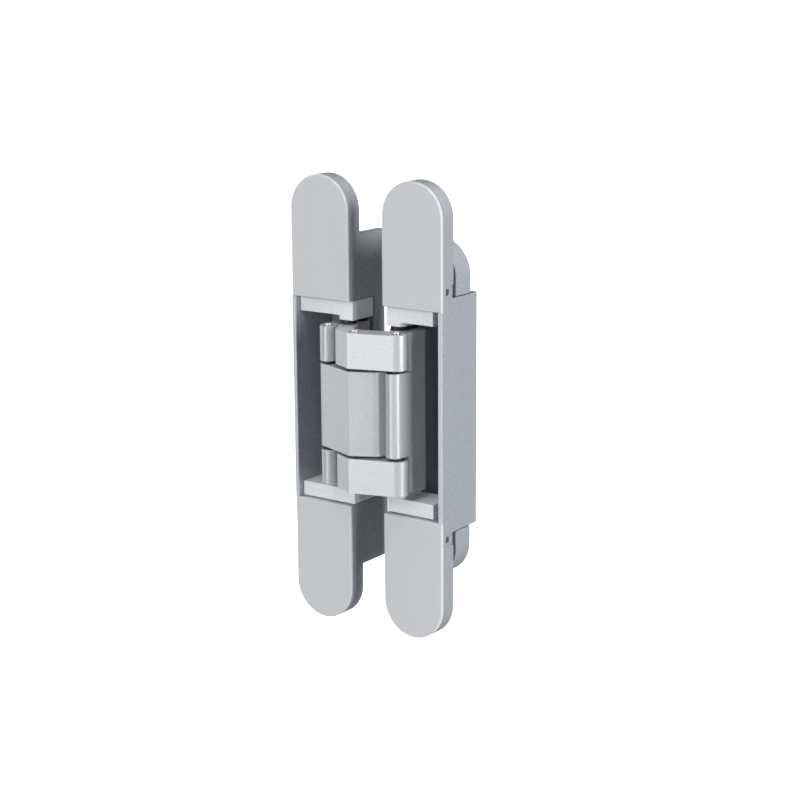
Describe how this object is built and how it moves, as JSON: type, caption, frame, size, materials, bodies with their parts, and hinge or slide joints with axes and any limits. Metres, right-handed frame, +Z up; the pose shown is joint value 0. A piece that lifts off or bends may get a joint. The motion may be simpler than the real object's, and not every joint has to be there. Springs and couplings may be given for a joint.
{
  "type": "concealed door hinge",
  "caption": "Concealed door hinge, shown open: two mortised leaves with clip-on covers, joined by crossing arms and curved links on vertical pins that fold into the pockets.",
  "frame": {"origin": "midway between the frame leaf's two fixing screws, on the seating plane behind its flange", "axes": "+X across the leaves, away from the door leaf; +Y into the timber; +Z up along the leaves"},
  "size_m": [0.0634, 0.0326, 0.16],
  "materials": {
    "cover_paint": "matte light grey paint",
    "housing_paint": "speckled silver powder coat",
    "carrier_paint": "bright speckled silver coat",
    "arm_paint": "satin pearl silver",
    "guide_cast": "speckled silver powder coat",
    "screw_steel": "zinc plated",
    "pin_steel": "polished steel",
    "bearing_plastic": "black bearing plastic"
  },
  "bodies": {
    "frame_leaf": {"frame_housing": "housing_paint", "frame_cover_top": "cover_paint", "frame_cover_bottom": "cover_paint", "frame_guide_top": "guide_cast", "frame_guide_bottom": "guide_cast", "frame_guide_screws": "screw_steel"},
    "frame_carriers": {"frame_carrier_top": "carrier_paint", "frame_carrier_bottom": "carrier_paint", "frame_clamp_screws": "screw_steel", "frame_arm_pin": "pin_steel", "frame_link_pin": "pin_steel", "frame_arm_washers": "bearing_plastic", "frame_link_washers": "bearing_plastic"},
    "frame_arm_body": {"frame_arm": "arm_paint", "frame_arm_bush": "bearing_plastic", "centre_bush": "bearing_plastic"},
    "door_arm_body": {"door_arm": "arm_paint", "door_arm_bush": "bearing_plastic", "centre_pin": "pin_steel", "frame_link_outer_pin": "pin_steel", "centre_washers": "bearing_plastic", "frame_outer_washers": "bearing_plastic"},
    "frame_link_body": {"frame_link": "arm_paint", "frame_link_bush": "bearing_plastic"},
    "door_carriers": {"door_carrier_top": "carrier_paint", "door_carrier_bottom": "carrier_paint", "door_guide_top": "guide_cast", "door_guide_bottom": "guide_cast", "door_clamp_screws": "screw_steel", "door_arm_pin": "pin_steel", "door_link_pin": "pin_steel", "door_arm_washers": "bearing_plastic", "door_link_washers": "bearing_plastic"},
    "door_link_body": {"door_link": "arm_paint", "door_link_bush": "bearing_plastic", "door_link_outer_pin": "pin_steel", "door_outer_washers": "bearing_plastic"},
    "door_leaf": {"door_housing": "housing_paint", "door_cover_top": "cover_paint", "door_cover_bottom": "cover_paint", "door_guide_screws": "screw_steel"}
  },
  "joints": [
    {"name": "frame_depth_adjust", "type": "slide", "parent": "frame_leaf", "child": "frame_carriers", "axis": [1, 0, 0], "range_m": [-0.001, 0.001]},
    {"name": "frame_arm_turn", "type": "hinge", "parent": "frame_carriers", "child": "frame_arm_body", "pos_m": [-0.00885, -0.0019, 0], "axis": [0, 0, 1], "range_deg": [0, 107]},
    {"name": "centre_turn", "type": "hinge", "parent": "frame_arm_body", "child": "door_arm_body", "pos_m": [-0.0195, -0.0133, 0], "axis": [0, 0, 1], "range_deg": [-34, 0]},
    {"name": "door_arm_turn", "type": "hinge", "parent": "door_arm_body", "child": "door_carriers", "pos_m": [-0.03015, -0.0019, 0], "axis": [0, 0, 1], "range_deg": [0, 107]},
    {"name": "frame_link_turn", "type": "hinge", "parent": "frame_carriers", "child": "frame_link_body", "pos_m": [-0.00878, 0.0047, 0], "axis": [0, 0, 1], "range_deg": [0, 81.5]},
    {"name": "door_link_turn", "type": "hinge", "parent": "door_carriers", "child": "door_link_body", "pos_m": [-0.03022, 0.0047, 0], "axis": [0, 0, 1], "range_deg": [-81.5, 0]},
    {"name": "door_side_adjust", "type": "slide", "parent": "door_carriers", "child": "door_leaf", "axis": [0, 1, 0], "range_m": [-0.001, 0.001]}
  ],
  "couplings": [
    {"joint": "centre_turn", "follows": "frame_arm_turn", "ratio": -0.31776},
    {"joint": "door_arm_turn", "follows": "frame_arm_turn", "ratio": 1},
    {"joint": "frame_link_turn", "follows": "frame_arm_turn", "ratio": 0.76168},
    {"joint": "door_link_turn", "follows": "frame_arm_turn", "ratio": -0.76168}
  ]
}
